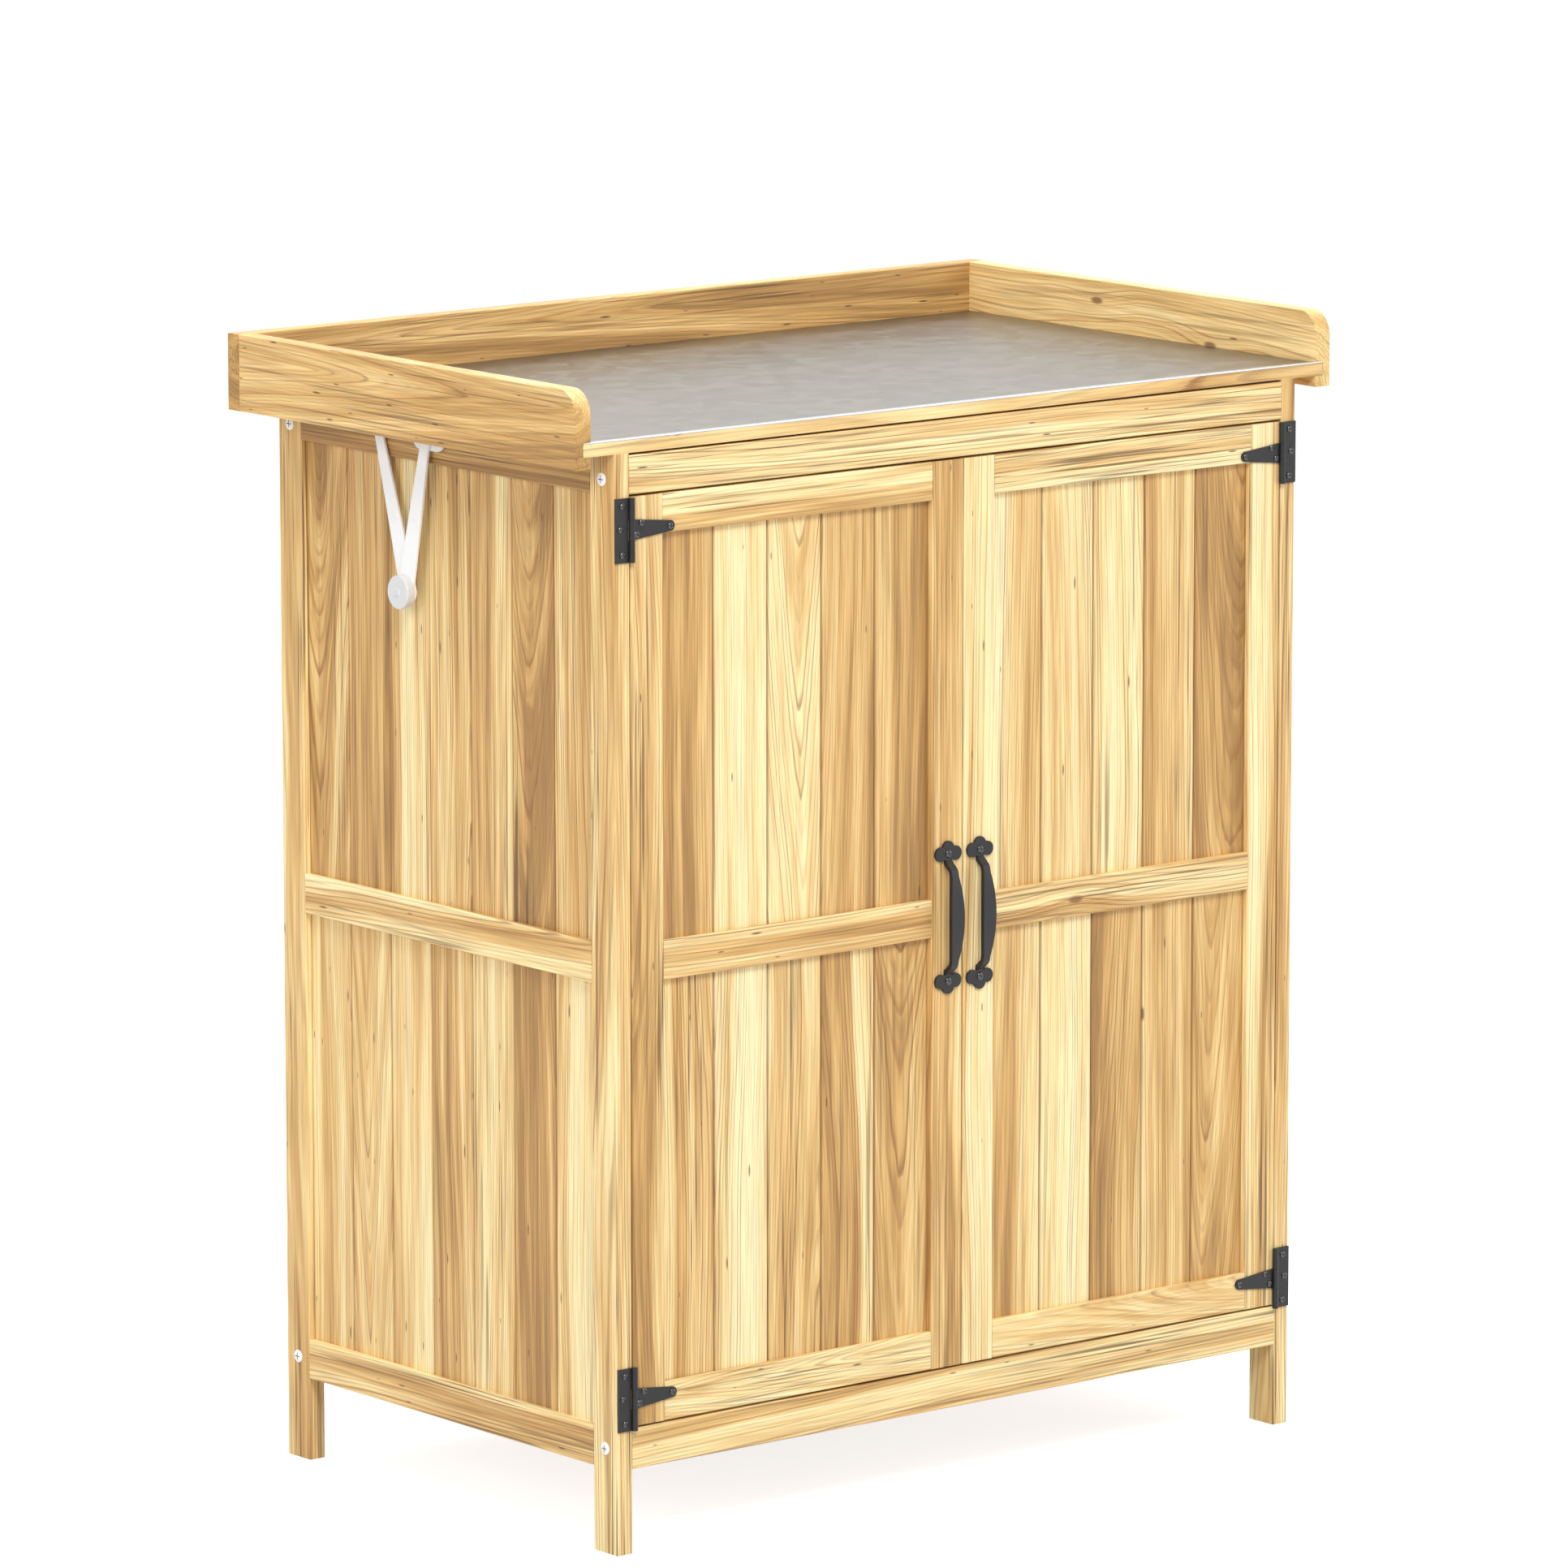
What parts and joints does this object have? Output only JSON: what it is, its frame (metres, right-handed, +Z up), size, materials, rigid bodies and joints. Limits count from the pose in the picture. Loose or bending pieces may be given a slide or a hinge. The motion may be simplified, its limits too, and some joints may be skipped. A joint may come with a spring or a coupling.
{
  "type": "potting bench",
  "caption": "Wooden potting bench: a legged storage cabinet with framed board doors, black hinges and pulls, and a lift-up metal-topped tray lid on a folding stay.",
  "frame": {"origin": "on the floor, under the middle of the whole bench's box", "axes": "+Z up, front with the doors towards -Y, +X to the viewer's right"},
  "size_m": [0.8258, 0.4957, 0.98],
  "materials": {
    "fir_frame": "planed fir, clear, satin",
    "fir_boards": "planed fir boards, clear, satin",
    "fir_lid": "planed fir, clear, satin",
    "fir_inner": "sawn fir, clear, matt",
    "galvanised_steel": "galvanised, semi-matt",
    "black_iron": "black powder coat, satin",
    "white_screw": "bright zinc, satin",
    "white_stay": "white powder coat, satin",
    "zinc_plate": "bright zinc",
    "catch_plastic": "moulded, matt"
  },
  "bodies": {
    "cabinet": {"back_boards": "fir_boards", "door_catch": "catch_plastic", "floor_boards": "fir_inner", "front_bottom_rail": "fir_frame", "front_left_leg": "fir_frame", "front_right_leg": "fir_frame", "front_top_rail": "fir_frame", "hinge_pins": "black_iron", "hinge_plate_screws": "black_iron", "left_bottom_rail": "fir_frame", "left_mid_rail": "fir_frame", "left_side_boards": "fir_boards", "left_top_rail": "fir_frame", "leg_hinge_plates": "black_iron", "leg_screws": "white_screw", "lid_hinge_rail_leaves": "black_iron", "rear_bottom_rail": "fir_frame", "rear_left_leg": "fir_frame", "rear_mid_rail": "fir_frame", "rear_right_leg": "fir_frame", "rear_top_rail": "fir_frame", "right_bottom_rail": "fir_frame", "right_mid_rail": "fir_frame", "right_side_boards": "fir_boards", "right_top_rail": "fir_frame", "shelf_boards": "fir_inner", "shelf_cleats": "fir_inner", "stay_pivot_screw": "white_stay"},
    "left_door": {"left_door_boards": "fir_boards", "left_door_bottom_rail": "fir_frame", "left_door_hinge_stile": "fir_frame", "left_door_hinge_straps": "black_iron", "left_door_meeting_stile": "fir_frame", "left_door_mid_rail": "fir_frame", "left_door_pull": "black_iron", "left_door_screws": "black_iron", "left_door_top_rail": "fir_frame", "left_strike_plate": "zinc_plate"},
    "right_door": {"right_door_boards": "fir_boards", "right_door_bottom_rail": "fir_frame", "right_door_hinge_stile": "fir_frame", "right_door_hinge_straps": "black_iron", "right_door_meeting_stile": "fir_frame", "right_door_mid_rail": "fir_frame", "right_door_pull": "black_iron", "right_door_screws": "black_iron", "right_door_top_rail": "fir_frame", "right_strike_plate": "zinc_plate"},
    "lid": {"lid_back_board": "fir_lid", "lid_battens": "fir_inner", "lid_hinge_board_leaves": "black_iron", "lid_left_board": "fir_lid", "lid_right_board": "fir_lid", "lid_screws": "zinc_plate", "lid_steel_sheet": "galvanised_steel", "lid_top_boards": "fir_inner", "stay_lid_bracket": "white_stay"},
    "stay_cabinet_link": {"stay_cabinet_arm": "white_stay"},
    "stay_lid_link": {"stay_lid_arm": "white_stay", "stay_hub": "white_stay"}
  },
  "joints": [
    {"name": "lid_hinge", "type": "hinge", "parent": "cabinet", "child": "lid", "pos_m": [0, 0.23275, 0.9117], "axis": [-1, 0, 0], "range_deg": [0, 85]},
    {"name": "left_door_hinge", "type": "hinge", "parent": "cabinet", "child": "left_door", "pos_m": [-0.35665, -0.23505, 0.498], "axis": [0, 0, -1], "range_deg": [0, 165]},
    {"name": "right_door_hinge", "type": "hinge", "parent": "cabinet", "child": "right_door", "pos_m": [0.35665, -0.23505, 0.498], "axis": [0, 0, 1], "range_deg": [0, 165]},
    {"name": "stay_cabinet_pivot", "type": "hinge", "parent": "cabinet", "child": "stay_cabinet_link", "pos_m": [-0.37485, 0.08465, 0.9139], "axis": [-1, 0, 0], "range_deg": [0, 169.67]},
    {"name": "stay_elbow", "type": "hinge", "parent": "stay_cabinet_link", "child": "stay_lid_link", "pos_m": [-0.37485, 0.04395, 0.779], "axis": [1, 0, 0], "range_deg": [0, 100.47]}
  ],
  "couplings": [
    {"joint": "stay_cabinet_pivot", "follows": "lid_hinge", "ratio": 1.996},
    {"joint": "stay_elbow", "follows": "lid_hinge", "ratio": 1.1819}
  ]
}
